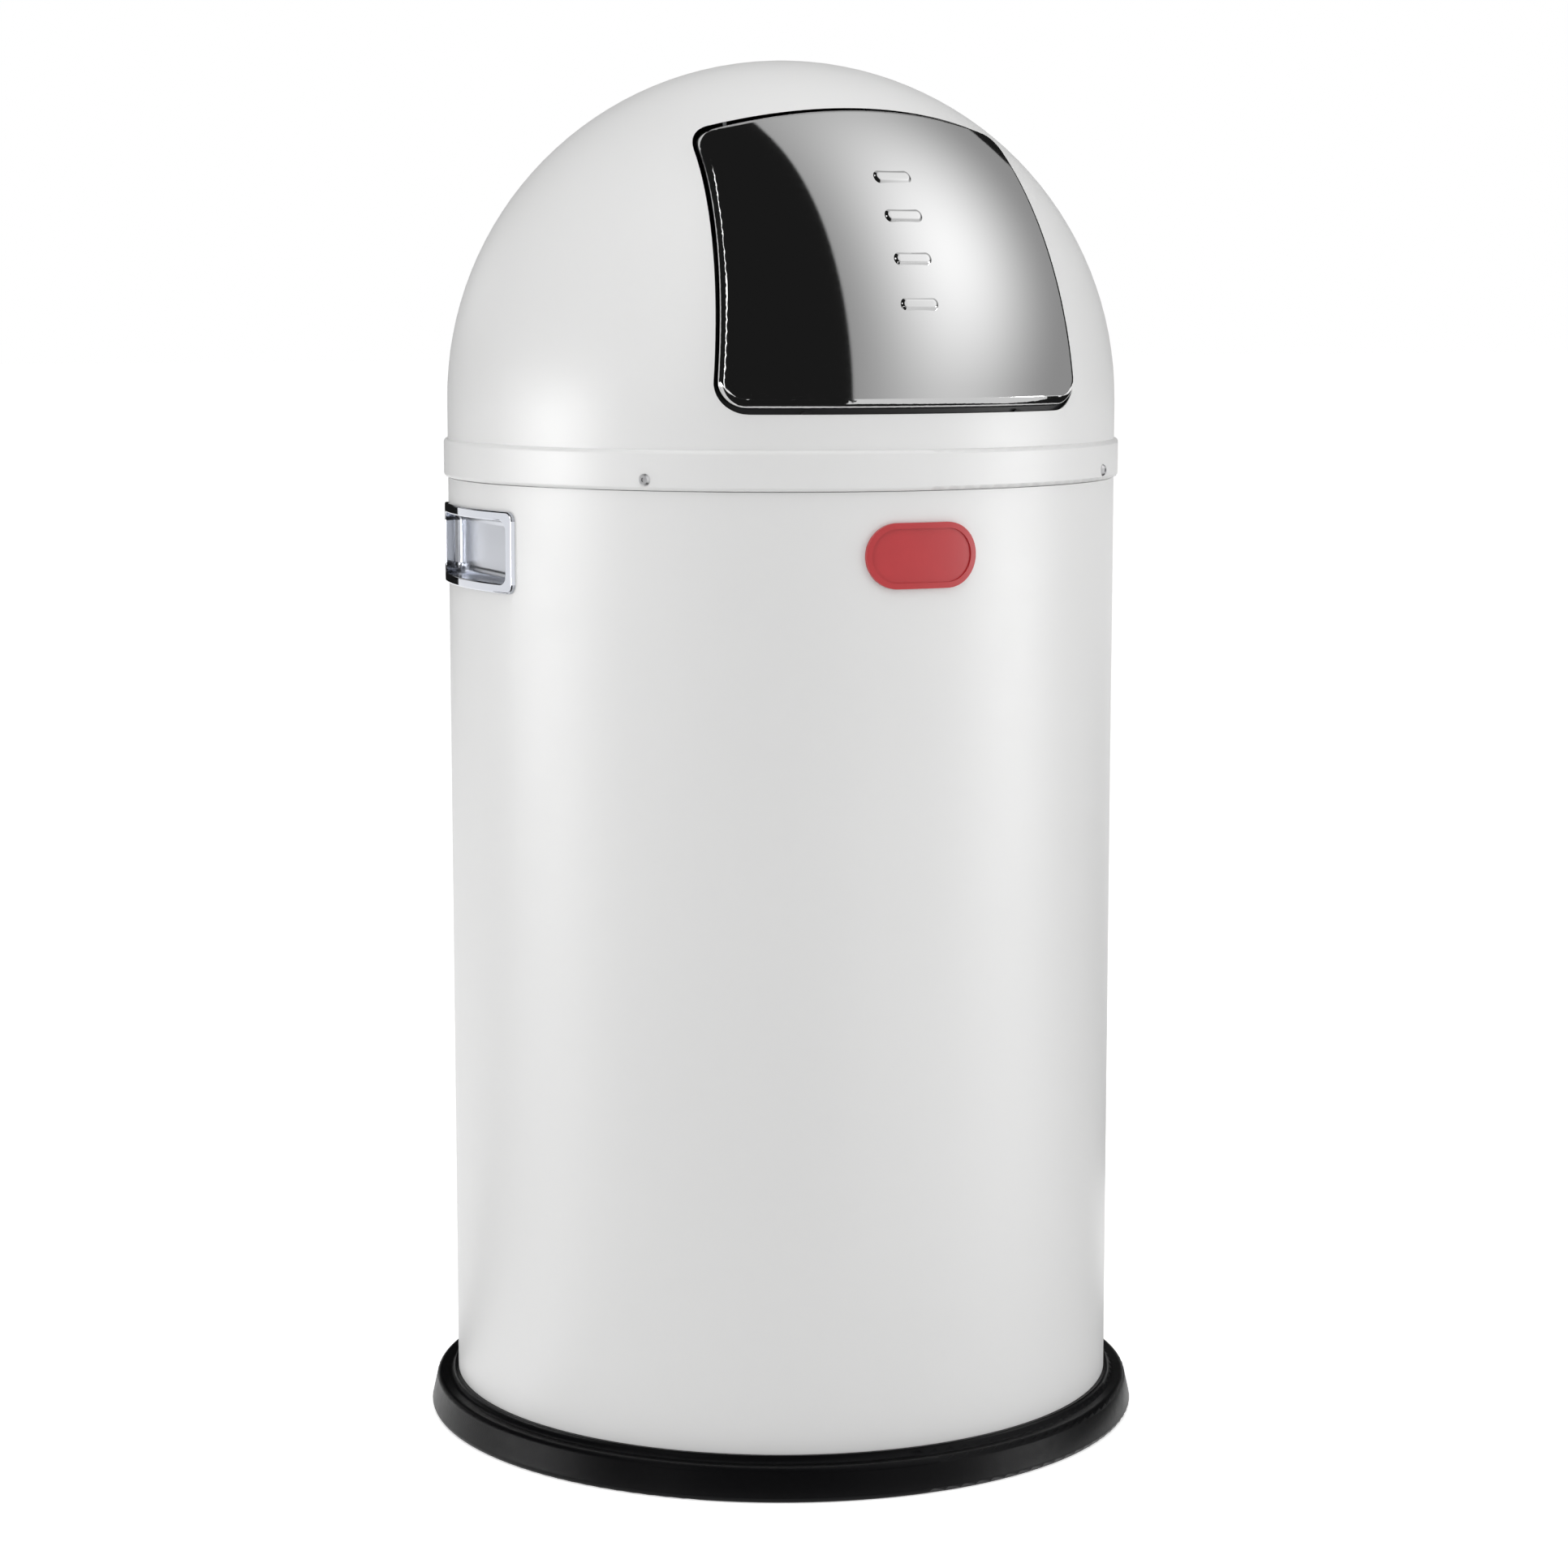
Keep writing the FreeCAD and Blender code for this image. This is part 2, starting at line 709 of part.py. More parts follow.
def cross_plate(x, thickness, outline):
    """A plate square to X, from points in the YZ plane."""
    start = x - thickness / 2
    points = [Vector(start, y, z) for y, z in outline]
    return Part.Face(Part.makePolygon(points + points[:1])).extrude(AXIS_X * thickness)


def cross_disc(x, thickness, radius, y, z):
    """A disc square to X."""
    return Part.makeCylinder(radius, thickness, Vector(x - thickness / 2, y, z), AXIS_X)


def heel_reach():
    """The length of the heels with which they meet the opening stops at the flap's full angle."""
    turn = math.radians(N.heel_rest_angle + N.flap_open_angle)
    far_side = HINGE + AXIS_X * (N.ear_offset + N.ear_thickness / 2)
    way = Vector(0, math.cos(turn), math.sin(turn))
    return ray_to_ball(far_side, way, STOP_FACE - N.seat_gap * 2 - N.heel_radius)


def heel_centre(angle):
    turn = math.radians(angle)
    reach = heel_reach()
    return (HINGE.y + reach * math.cos(turn), HINGE.z + reach * math.sin(turn))


def flap_ear(side):
    x = N.ear_offset
    upper = (backplate_point(x, N.ear_upper_reach), N.ear_upper_reach)
    lower = (backplate_point(x, N.ear_lower_reach), N.ear_lower_reach)
    web = cross_plate(x, N.ear_thickness, [
        (HINGE.y, HINGE.z + N.ear_boss),
        upper,
        lower,
        (HINGE.y, HINGE.z - N.ear_boss),
    ])
    boss = cross_disc(x, N.ear_thickness, N.ear_boss, HINGE.y, HINGE.z)
    heel_y, heel_z = heel_centre(N.heel_rest_angle)
    across = N.heel_radius / heel_reach()
    rise = (heel_z - HINGE.z) * across
    run = (heel_y - HINGE.y) * across
    arm = cross_plate(x, N.ear_thickness, [
        (HINGE.y - rise, HINGE.z + run),
        (heel_y - rise, heel_z + run),
        (heel_y + rise, heel_z - run),
        (HINGE.y + rise, HINGE.z - run),
    ])
    tip = cross_disc(x, N.ear_thickness, N.heel_radius, heel_y, heel_z)
    return one_side(web.fuse([boss, arm, tip]), side)


def make_flap_backplate():
    lap = N.backplate_lap
    low = Vector(-N.flap_half_bottom - lap, -N.body_radius, N.flap_bottom - lap)
    high = Vector(N.flap_half_bottom + lap, 0, N.backplate_lap_top)
    skirt = block(low, high)
    skirt = skirt.makeFillet(N.flap_corner, edges_along(skirt, AXIS_Y))
    outline = flap_prism(-N.fit_gap, 0, -N.fit_gap).fuse(skirt)
    plate = dome_layer(BACKPLATE_INNER, BACKPLATE_FACE).common(outline)
    plate = plate.fuse([flap_ear(side) for name, side in SIDES]).removeSplitter()
    bore = Part.makeCylinder(N.bush_radius + N.fit_gap, N.body_radius * 2,
                             HINGE - AXIS_X * N.body_radius, AXIS_X)
    solid_part("flap_backplate", plate.cut(bore))


def make_flap_buffers():
    layer = dome_layer(BACKPLATE_FACE + N.fit_gap, DOME_INNER - N.seat_gap)
    side_offset = N.flap_half_bottom + N.backplate_lap - N.buffer_radius * 2
    low_height = N.flap_bottom - N.mouth_bottom_gap - N.buffer_radius / 2
    places = [(N.buffer_offset, low_height), (side_offset, N.buffer_side_height)]
    pads = []
    for x, z in places:
        centre = Vector(x, -N.body_radius, z)
        pad = Part.makeCylinder(N.buffer_radius, N.body_radius, centre, AXIS_Y).common(layer)
        for name, side in SIDES:
            pads.append(one_side(pad, side))
    solid_part("flap_buffers", Part.makeCompound(pads))


def make_hinge_bushes():
    inner_face = N.ear_offset - N.ear_thickness / 2
    sleeve = Part.makeCylinder(N.bush_radius, N.ear_thickness, HINGE + AXIS_X * inner_face, AXIS_X)
    collar_start = inner_face - N.fit_gap - N.bush_flange
    collar = Part.makeCylinder(N.bush_flange_radius, N.bush_flange,
                               HINGE + AXIS_X * collar_start, AXIS_X)
    neck = Part.makeCylinder(N.bush_radius, N.fit_gap,
                             HINGE + AXIS_X * (collar_start + N.bush_flange), AXIS_X)
    bore = Part.makeCylinder(N.axle_radius + N.axle_running_gap, N.body_radius, HINGE, AXIS_X)
    bush = sleeve.fuse([collar, neck]).removeSplitter().cut(bore)
    for name, side in SIDES:
        solid_part("hinge_bush_" + name, one_side(bush, side))


# Hinge on the hood: axle, welded brackets, retaining clips, opening stops and return springs
def axle_half_length():
    return N.bracket_offset + N.bracket_sheet / 2 + N.axle_end_reach


def make_hinge_axle():
    axle = document.addObject("Part::Cylinder", "HingeAxle")
    bind(axle, "Radius", S.axle_radius)
    half = S.bracket_offset + S.bracket_sheet / 2 + S.axle_end_reach
    bind(axle, "Height", half * 2)
    axle.Placement = FreeCAD.Placement(HINGE, FreeCAD.Rotation(AXIS_Y, QUARTER_TURN))
    bind(axle, "Placement.Base.x", AXIS - half)
    bind(axle, "Placement.Base.y", AXIS - S.hinge_setback)
    bind(axle, "Placement.Base.z", S.hinge_height)
    keep(axle, "hinge_axle")


def make_hinge_brackets():
    skin = DOME_INNER - N.fit_gap
    x = N.bracket_offset
    front = HINGE.y - N.bracket_boss / 2
    rear = front + N.bracket_foot_length
    half_foot = N.bracket_foot_width / 2
    foot = dome_layer(skin - N.bracket_sheet, skin).common(
        block(Vector(x - half_foot, front, HINGE.z), Vector(x + half_foot, rear, N.overall_height)))
    web = cross_plate(x, N.bracket_sheet, [
        (front, HINGE.z),
        (front, N.overall_height),
        (rear, N.overall_height),
        (rear, HINGE.z + N.bracket_foot_length / 2),
        (HINGE.y + N.bracket_boss, HINGE.z),
    ]).common(ball(skin))
    boss = cross_disc(x, N.bracket_sheet, N.bracket_boss, HINGE.y, HINGE.z)
    bore = Part.makeCylinder(N.axle_radius + N.axle_running_gap, N.body_radius, HINGE, AXIS_X)
    bracket = foot.fuse([web, boss]).removeSplitter().cut(bore)
    for name, side in SIDES:
        solid_part("hinge_bracket_" + name, one_side(bracket, side))


def make_axle_clips():
    x = N.bracket_offset + N.bracket_sheet / 2 + N.fit_gap + N.clip_thickness / 2
    ring = cross_disc(x, N.clip_thickness, N.clip_radius, HINGE.y, HINGE.z)
    ring = ring.cut(cross_disc(x, N.clip_thickness, N.axle_radius + N.axle_running_gap,
                               HINGE.y, HINGE.z))
    slot = block(Vector(x - N.clip_thickness, HINGE.y - N.clip_slot / 2, HINGE.z - N.clip_radius),
                 Vector(x + N.clip_thickness, HINGE.y + N.clip_slot / 2, HINGE.z))
    clip = ring.cut(slot)
    solid_part("axle_clips", Part.makeCompound([one_side(clip, side) for name, side in SIDES]))


def make_opening_stops():
    """Rubber stops on the dome, which the heels of the flap's ears meet when it is fully open."""
    skin = DOME_INNER - N.fit_gap
    heel_y, heel_z = heel_centre(N.heel_rest_angle + N.flap_open_angle)
    half = N.stop_width / 2
    column = block(Vector(N.ear_offset - half, heel_y - half, HINGE.z),
                   Vector(N.ear_offset + half, heel_y + half, N.overall_height))
    stop = dome_layer(STOP_FACE, skin).common(column)
    solid_part("opening_stops", Part.makeCompound([one_side(stop, side) for name, side in SIDES]))


def biarc(start, start_way, end, end_way):
    """Two arcs in space that join two points and keep the direction at each."""
    chord = end - start
    ways = start_way + end_way
    straight = 1 - start_way.dot(end_way)
    along = chord.dot(ways)
    reach = (math.sqrt(along * along + 2 * straight * chord.dot(chord)) - along) / (2 * straight)
    joint = (start + start_way * reach + end - end_way * reach) * 0.5
    return [tangent_arc(start, start_way, joint), tangent_arc(end, end_way * -1, joint)]


def tangent_arc(start, way, end):
    """The arc from start, leaving along way, to end."""
    chord = end - start
    half = chord.Length / 2
    toward = Vector(chord).normalize()
    side = (way - toward * way.dot(toward)).normalize()
    bulge = half * math.tan(math.acos(max(-1, min(1, way.dot(toward)))) / 2)
    return Part.Arc(start, start + chord * 0.5 + side * bulge, end).toShape()


def ray_to_ball(start, way, radius):
    """How far a ray goes from inside a ball round the dome's centre to its surface."""
    offset = start - Vector(0, 0, DOME_CENTRE)
    along = offset.dot(way)
    return math.sqrt(along * along - offset.dot(offset) + radius * radius) - along


def spring_point(turn):
    radius = N.spring_coil_radius
    first = math.radians(N.spring_hood_leg_angle + QUARTER_TURN)
    x = N.spring_offset + N.spring_pitch * (turn - first) / (2 * math.pi)
    return Vector(x, HINGE.y + radius * math.cos(turn), HINGE.z + radius * math.sin(turn))


def spring_way(turn):
    radius = N.spring_coil_radius
    rise = N.spring_pitch / (2 * math.pi)
    return Vector(rise, -radius * math.sin(turn), radius * math.cos(turn)).normalize()


def return_spring():
    first = math.radians(N.spring_hood_leg_angle + QUARTER_TURN)
    last = math.radians(N.spring_flap_leg_angle - QUARTER_TURN + FULL_TURN * N.spring_turns)
    pieces = math.ceil((last - first) / (math.pi / 2))
    turns = [first + (last - first) * index / pieces for index in range(pieces + 1)]
    clear = N.spring_wire_radius + N.seat_gap
    start = spring_point(first)
    start_way = spring_way(first) * -1
    hood_end = start + start_way * ray_to_ball(start, start_way, DOME_INNER - clear)
    end = spring_point(last)
    end_way = spring_way(last)
    flap_end = end + end_way * ray_to_ball(end, end_way, BACKPLATE_INNER - clear)
    edges = [Part.LineSegment(hood_end, start).toShape()]
    for low, high in zip(turns, turns[1:]):
        edges += biarc(spring_point(low), spring_way(low), spring_point(high), spring_way(high))
    edges.append(Part.LineSegment(end, flap_end).toShape())
    path = Part.Wire(Part.__sortEdges__(edges))
    wire = Part.Wire([Part.Circle(hood_end, start_way, N.spring_wire_radius).toShape()])
    spring = path.makePipeShell([wire], True, False)
    gap = least_gap(path, N.spring_wire_radius, N.spring_coil_radius)
    print("return spring: least gap between turns %.2f mm" % gap)
    return spring


def least_gap(path, wire_radius, coil_radius):
    """The least clear space between stretches of a tube that are half a turn or more apart."""
    points = path.discretize(Distance=wire_radius / 2)
    apart = int(math.pi * coil_radius / (wire_radius / 2))
    least = min((points[i] - points[j]).Length
                for i in range(len(points)) for j in range(i + apart, len(points)))
    return least - wire_radius * 2


def make_return_springs():
    spring = return_spring()
    for name, side in SIDES:
        solid_part("return_spring_" + name, one_side(spring, side))


# Liner: galvanised wall with a wired rim and two swages, and a recessed floor
def make_liner_wall():
    outer = S.liner_radius
    inner = outer - S.liner_sheet
    half = S.swage_width / 2
    swage = half * half / (S.swage_height * 2) + S.swage_height / 2
    heights = [S.swage_lower_height, S.swage_upper_height]
    rising = []
    falling = []
    for height in heights:
        rising += [(outer, height - half, (swage, 1)), (outer, height + half)]
    for height in reversed(heights):
        falling += [(inner, height + half, (swage, -1)), (inner, height - half)]
    bead = S.liner_bead_radius
    bead_middle = inner + bead
    rim = [
        (outer, S.liner_top - bead * 2),
        (bead_middle, S.liner_top - bead * 2, (bead, 1)),
        (bead_middle + bead, S.liner_top - bead, (bead, 1)),
        (bead_middle, S.liner_top, (bead, 1)),
        (inner, S.liner_top - bead),
    ]
    profile = [(outer, LINER_FOOT)] + rising + rim + falling + [(inner, LINER_FOOT)]
    keep(turned_body("LinerWall", profile), "liner_wall")


def make_liner_floor():
    rim = S.liner_radius - S.liner_sheet - S.fit_gap
    floor = LINER_FOOT + S.liner_floor_height
    keep(turned_body("LinerFloor", [
        (rim - S.liner_sheet, LINER_FOOT),
        (rim, LINER_FOOT),
        (rim, floor + S.liner_sheet),
        (AXIS, floor + S.liner_sheet),
        (AXIS, floor),
        (rim - S.liner_sheet, floor),
    ]), "liner_floor")


# Bail lugs: pressed hat brackets riveted to the liner, which hold the ends of the bail
def lug_rivet_places():
    return [(side * (N.lug_crown + N.lug_foot) / 2, N.bail_height) for side in (-1, 1)]


def lug_shape():
    skin = N.liner_radius + N.fit_gap
    crown = N.lug_crown / 2
    foot = crown + N.lug_foot
    thick = N.lug_sheet
    top = skin + N.lug_standoff
    leg = crown + thick
    foot_face = math.sqrt(skin ** 2 - crown ** 2) + thick
    outline = [
        (0, -foot), (foot_face, -foot), (foot_face, -leg), (top, -crown), (top, crown),
        (foot_face, leg), (foot_face, foot), (0, foot),
    ]
    inner_top = top - thick
    hollow = [
        (0, -crown), (foot_face - thick, -crown), (inner_top, -crown + thick),
        (inner_top, crown - thick), (foot_face - thick, crown), (0, crown),
    ]
    low = N.bail_height - N.lug_height / 2

    def upright(points):
        corners = [Vector(x, y, low) for x, y in points]
        return Part.Face(Part.makePolygon(corners + corners[:1])).extrude(AXIS_Z * N.lug_height)

    lug = upright(outline).cut(upright(hollow))
    lug = lug.cut(Part.makeCylinder(skin, N.lug_height, Vector(0, 0, low)))
    pin = N.bail_wire_radius + N.axle_running_gap
    lug = lug.cut(Part.makeCylinder(pin, N.body_radius, Vector(0, 0, N.bail_height), AXIS_X))
    for y, z in lug_rivet_places():
        radius = N.lug_rivet_radius + N.fit_gap
        lug = lug.cut(Part.makeCylinder(radius, N.body_radius, Vector(0, y, z), AXIS_X))
    return lug, foot_face


def make_bail_lugs():
    lug, foot_face = lug_shape()
    rivets = []
    for y, z in lug_rivet_places():
        base = Vector(foot_face + N.fit_gap, y, z)
        head = Part.makeCylinder(N.lug_rivet_head_radius, N.lug_rivet_head, base, AXIS_X)
        wall_x = math.sqrt(N.liner_radius ** 2 - (abs(y) + N.lug_rivet_radius) ** 2)
        wall_far = math.sqrt(N.liner_radius ** 2 - (abs(y) - N.lug_rivet_radius) ** 2)
        shank_start = Vector(max(wall_x, wall_far) + N.fit_gap, y, z)
        shank = Part.makeCylinder(N.lug_rivet_radius, base.x - shank_start.x, shank_start, AXIS_X)
        rivets.append(head.fuse(shank).removeSplitter())
    pair = Part.makeCompound(rivets)
    for name, side in SIDES:
        solid_part("bail_lug_" + name, one_side(lug, side))
    solid_part("lug_rivets", Part.makeCompound(
        [one_side(rivet, side) for name, side in SIDES for rivet in pair.Solids]))


# Bail: bent wire with headed ends, and a moulded sleeve at its middle
def bail_point(x, y):
    return Vector(x, y, N.bail_height)


def hang(shape):
    """Let the bail drop about its pivots until the sleeve all but rests on the liner."""
    reach = N.bail_straight + N.bail_half_span
    wall = N.liner_radius + N.bail_sleeve_radius + N.seat_gap
    shape.rotate(bail_point(0, 0), AXIS_X, -math.degrees(math.acos(wall / reach)))
    return shape


def make_bail():
    span = N.bail_half_span
    bend = N.bail_bend
    straight = N.bail_straight
    slant = math.sqrt(0.5)
    lug_inner = N.liner_radius + N.fit_gap + N.lug_standoff - N.lug_sheet
    tip = lug_inner - N.seat_gap - N.bail_head_length

    def arm(side):
        middle = bail_point(side * (span - bend + bend * slant), bend - bend * slant)
        return [
            Part.LineSegment(bail_point(side * tip, 0), bail_point(side * (span - bend), 0)),
            Part.Arc(bail_point(side * (span - bend), 0), middle, bail_point(side * span, bend)),
            Part.LineSegment(bail_point(side * span, bend), bail_point(side * span, straight)),
        ]

    half_loop = Part.Arc(bail_point(-span, straight), bail_point(0, straight + span),
                         bail_point(span, straight))
    curves = arm(-1) + [half_loop] + arm(1)
    path = Part.Wire(Part.__sortEdges__([curve.toShape() for curve in curves]))
    section = Part.Circle(bail_point(-tip, 0), AXIS_X, N.bail_wire_radius).toShape()
    wire = path.makePipeShell([Part.Wire([section])], True, False)
    heads = []
    for name, side in SIDES:
        start = bail_point(side * tip, 0)
        heads.append(Part.makeCylinder(N.bail_head_radius, N.bail_head_length, start, AXIS_X * side))
    solid_part("bail_wire", hang(wire.fuse(heads).removeSplitter()))

    half_angle = N.bail_sleeve_angle / 2
    ring_centre = bail_point(0, straight)

    def sleeve_ring(radius):
        ring_start = Vector(span, straight, N.bail_height)
        disc = Part.Face(Part.Wire([Part.Circle(ring_start, AXIS_Y, radius).toShape()]))
        disc.rotate(ring_centre, AXIS_Z, QUARTER_TURN - half_angle)
        return disc.revolve(ring_centre, AXIS_Z, N.bail_sleeve_angle)

    sleeve = sleeve_ring(N.bail_sleeve_radius).cut(sleeve_ring(N.bail_wire_radius + N.fit_gap))
    solid_part("bail_sleeve", hang(sleeve))


def check_and_write():
    """Stop on any failed object, then write each sub-part to its own file."""
    document.recompute()
    for item in document.Objects:
        if "Invalid" in item.State or "Error" in item.State:
            raise RuntimeError("%s did not build: %s" % (item.Name, item.State))
    os.makedirs("parts", exist_ok=True)
    for item in parts:
        shape = item.Shape
        if shape.isNull() or not shape.isValid() or not shape.Solids:
            raise RuntimeError("%s has no valid solid" % item.Label)
    for item in parts:
        item.Shape.exportStep(os.path.join("parts", item.Label + ".step"))
        print("%-22s %2d solid %12.1f mm3" % (item.Label, len(item.Shape.Solids), item.Shape.Volume))


make_body_shell()
make_bottom_plate()
make_floor_ring()
make_grips()
make_badge()
make_hood_shell()
make_plug_ring()
make_collar_rivets()
make_flap_panel()
make_flap_backplate()
make_flap_buffers()
make_hinge_bushes()
make_hinge_axle()
make_hinge_brackets()
make_axle_clips()
make_opening_stops()
make_return_springs()
make_liner_wall()
make_liner_floor()
make_bail_lugs()
make_bail()
check_and_write()
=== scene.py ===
"""Looks for the push-flap waste bin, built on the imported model. Metres, same frame as the CAD."""
import math

import bmesh
import bpy
from mathutils import Matrix, Vector


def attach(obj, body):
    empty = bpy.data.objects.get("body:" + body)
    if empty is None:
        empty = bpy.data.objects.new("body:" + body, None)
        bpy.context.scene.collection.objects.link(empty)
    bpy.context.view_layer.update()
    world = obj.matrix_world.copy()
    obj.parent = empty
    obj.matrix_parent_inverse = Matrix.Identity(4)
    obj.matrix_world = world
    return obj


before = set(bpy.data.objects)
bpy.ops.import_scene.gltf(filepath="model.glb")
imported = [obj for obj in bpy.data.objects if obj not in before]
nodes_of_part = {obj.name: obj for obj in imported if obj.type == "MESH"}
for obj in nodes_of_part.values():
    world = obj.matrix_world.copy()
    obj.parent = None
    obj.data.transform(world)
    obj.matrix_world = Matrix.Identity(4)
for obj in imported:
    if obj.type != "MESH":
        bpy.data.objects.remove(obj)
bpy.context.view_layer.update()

# Sizes of the part that the looks need, the same as in the part's source
DOME_CENTRE = Vector((0, 0, 0.570))
FLAP_FACE_RADIUS = 0.1885
BODY_RADIUS = 0.185
GRIP_LEDGE = Vector((-0.176, 0, 0.476))

# Camera: the photograph's viewing angle, with angles in degrees and the lens in millimetres
CAMERA_AZIMUTH = -23.08
CAMERA_AIM = -23.128
CAMERA_DISTANCE = 2.073
CAMERA_HEIGHT = 0.6302
CAMERA_TILT = 7.594
CAMERA_LENS = 85.07
SENSOR = 36.0

QUARTER_TURN = 90.0
WHITE = (1, 1, 1, 1)


def heading(azimuth):
    """The level direction from the bin's axis towards an azimuth, 0 being the front."""
    turn = math.radians(azimuth)
    return Vector((math.sin(turn), -math.cos(turn), 0))


def direction(azimuth, elevation):
    """The direction towards an azimuth and an elevation above the level."""
    rise = math.radians(elevation)
    return heading(azimuth) * math.cos(rise) + Vector((0, 0, math.sin(rise)))


# Materials
POCKET_ROUGHNESS = 0.25
PLATE_ROUGHNESS = 0.05
POCKET_BLEND = 0.004


class Shader:
    """A Principled material with small helpers for its texture nodes."""

    def __init__(self, name, colour, roughness, metallic=0.0):
        self.material = bpy.data.materials.new(name)
        self.material.use_nodes = True
        self.tree = self.material.node_tree
        self.bsdf = self.tree.nodes["Principled BSDF"]
        self.set("Base Color", (*colour, 1))
        self.set("Roughness", roughness)
        self.set("Metallic", metallic)
        self.place = self.add("ShaderNodeTexCoord").outputs["Object"]

    def add(self, kind):
        return self.tree.nodes.new(kind)

    def link(self, source, target):
        self.tree.links.new(source, target)

    def set(self, socket, value):
        self.bsdf.inputs[socket].default_value = value

    def feed(self, value, socket):
        self.link(value, self.bsdf.inputs[socket])

    def vector_math(self, operation):
        node = self.add("ShaderNodeVectorMath")
        node.operation = operation
        return node

    def noise(self, scale, detail=3.0, stretch=(1, 1, 1)):
        mapping = self.add("ShaderNodeMapping")
        mapping.inputs["Scale"].default_value = stretch
        self.link(self.place, mapping.inputs["Vector"])
        texture = self.add("ShaderNodeTexNoise")
        texture.inputs["Scale"].default_value = scale
        texture.inputs["Detail"].default_value = detail
        self.link(mapping.outputs["Vector"], texture.inputs["Vector"])
        return texture.outputs["Fac"]

    def cells(self, scale):
        texture = self.add("ShaderNodeTexVoronoi")
        texture.inputs["Scale"].default_value = scale
        self.link(self.place, texture.inputs["Vector"])
        return texture.outputs["Color"]

    def spread(self, value, low, high):
        """A value from 0 to 1 as a number between two ends."""
        span = self.add("ShaderNodeMapRange")
        span.inputs["To Min"].default_value = low
        span.inputs["To Max"].default_value = high
        self.link(value, span.inputs["Value"])
        return span.outputs["Result"]

    def tint(self, value, low, high):
        """A value from 0 to 1 as a colour between two colours."""
        ramp = self.add("ShaderNodeValToRGB")
        ramp.color_ramp.elements[0].color = (*low, 1)
        ramp.color_ramp.elements[1].color = (*high, 1)
        self.link(value, ramp.inputs["Fac"])
        return ramp.outputs["Color"]

    def relief(self, value, strength, distance):
        bump = self.add("ShaderNodeBump")
        bump.inputs["Strength"].default_value = strength
        bump.inputs["Distance"].default_value = distance
        self.link(value, bump.inputs["Height"])
        self.link(bump.outputs["Normal"], self.bsdf.inputs["Normal"])


def shade(colour, change):
    return tuple(max(0.0, min(1.0, part * change)) for part in colour)


def powder_coat(name, colour):
    """Even satin paint with a fine grain."""
    paint = Shader(name, colour, roughness=0.4)
    drift = paint.noise(scale=6.0, detail=2.0)
    paint.feed(paint.tint(drift, low=shade(colour, change=0.985), high=shade(colour, change=1.015)),
               "Base Color")
    paint.feed(paint.spread(paint.noise(scale=60.0), low=0.36, high=0.44), "Roughness")
    paint.relief(paint.noise(scale=900.0, detail=2.0), strength=0.06, distance=0.0004)
    paint.set("Specular IOR Level", 0.8)
    return paint.material


def moulded_plastic(name, colour, roughness, grain, gloss=0.5):
    """Plastic or rubber with a moulded grain and worn spots in its sheen."""
    smoother = 0.05
    rougher = 0.07
    plastic = Shader(name, colour, roughness)
    plastic.set("Specular IOR Level", gloss)
    plastic.feed(plastic.tint(plastic.noise(scale=25.0), low=shade(colour, change=0.85),
                              high=shade(colour, change=1.25)), "Base Color")
    plastic.feed(plastic.spread(plastic.noise(scale=180.0), low=roughness - smoother,
                                high=roughness + rougher), "Roughness")
    plastic.relief(plastic.noise(scale=grain, detail=4.0), strength=0.18, distance=0.0003)
    return plastic.material


def polished_metal(name, colour, roughness, stretch, depth):
    """Metal with fine polishing marks along one direction."""
    smoother_share = 0.75
    rougher_share = 1.4
    metal = Shader(name, colour, roughness, metallic=1.0)
    metal.feed(metal.spread(metal.noise(scale=40.0, detail=4.0, stretch=stretch),
                            low=roughness * smoother_share, high=roughness * rougher_share),
               "Roughness")
    metal.relief(metal.noise(scale=700.0, detail=3.0, stretch=stretch), strength=depth, distance=0.0002)
    return metal.material


def chrome_plate(name, colour):
    """Bright plating on what stands outside the body, and satin plating in the pockets."""
    plate = Shader(name, colour, PLATE_ROUGHNESS, metallic=1.0)
    split = plate.add("ShaderNodeSeparateXYZ")
    plate.link(plate.place, split.inputs["Vector"])
    flat = plate.add("ShaderNodeCombineXYZ")
    plate.link(split.outputs["X"], flat.inputs["X"])
    plate.link(split.outputs["Y"], flat.inputs["Y"])
    reach = plate.vector_math("LENGTH")
    plate.link(flat.outputs["Vector"], reach.inputs[0])
    outside = plate.add("ShaderNodeMapRange")
    outside.inputs["From Min"].default_value = BODY_RADIUS - POCKET_BLEND
    outside.inputs["From Max"].default_value = BODY_RADIUS
    outside.inputs["To Min"].default_value = POCKET_ROUGHNESS
    outside.inputs["To Max"].default_value = PLATE_ROUGHNESS
    plate.link(reach.outputs["Value"], outside.inputs["Value"])
    plate.feed(outside.outputs["Result"], "Roughness")
    plate.relief(plate.noise(scale=300.0), strength=0.01, distance=0.0002)
    return plate.material


def galvanised(name, colour):
    """Zinc with the flakes of hot dipping."""
    zinc = Shader(name, colour, roughness=0.38, metallic=1.0)
    flakes = zinc.cells(scale=90.0)
    zinc.feed(zinc.tint(flakes, low=shade(colour, change=0.72), high=shade(colour, change=1.18)),
              "Base Color")
    zinc.feed(zinc.spread(flakes, low=0.28, high=0.52), "Roughness")
    zinc.relief(zinc.noise(scale=400.0), strength=0.08, distance=0.0003)
    return zinc.material


def enamel(name, colour):
    """Glazed colour under a thin clear coat."""
    glaze = Shader(name, colour, roughness=0.36)
    glaze.feed(glaze.tint(glaze.noise(scale=70.0), low=shade(colour, change=0.92),
                          high=shade(colour, change=1.06)), "Base Color")
    glaze.relief(glaze.noise(scale=500.0, detail=2.0), strength=0.05, distance=0.0003)
    glaze.set("Coat Weight", 0.2)
    glaze.set("Coat Roughness", 0.2)
    return glaze.material


